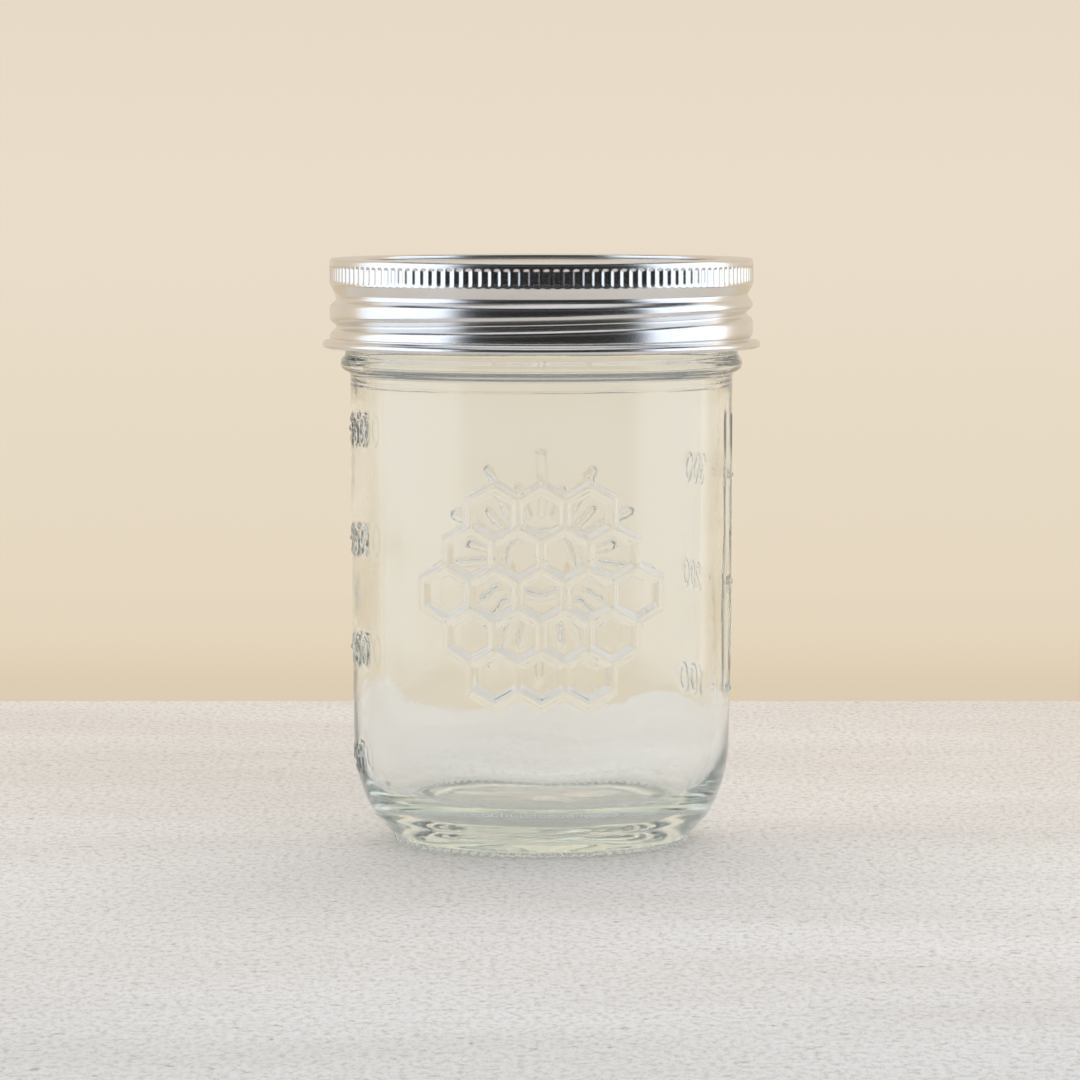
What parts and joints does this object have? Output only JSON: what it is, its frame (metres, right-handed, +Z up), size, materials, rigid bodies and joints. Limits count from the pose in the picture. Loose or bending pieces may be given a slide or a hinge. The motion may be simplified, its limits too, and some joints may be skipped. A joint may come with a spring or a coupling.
{
  "type": "mason jar",
  "caption": "Empty clear glass wide-mouth preserving jar with a rounded heel and raised patterns, closed by a flat disc and a ribbed metal screw band.",
  "frame": {"origin": "centre of the ring that the jar stands on, at the surface below it", "axes": "+Z up along the jar's axis; -Y towards the honeycomb front, +X to the right of it"},
  "size_m": [0.0918, 0.0918, 0.1228],
  "materials": {
    "clear_glass": "clear, glossy, with a faint green edge tint",
    "band_metal": "bright, lightly drawn silver sheet",
    "disc_metal": "bright rolled silver sheet",
    "seal_rubber": "matt grey-beige sealing compound"
  },
  "bodies": {
    "root": {"jar": "clear_glass", "screw_band": "band_metal", "lid_disc": "disc_metal", "sealing_ring": "seal_rubber"}
  },
  "joints": []
}
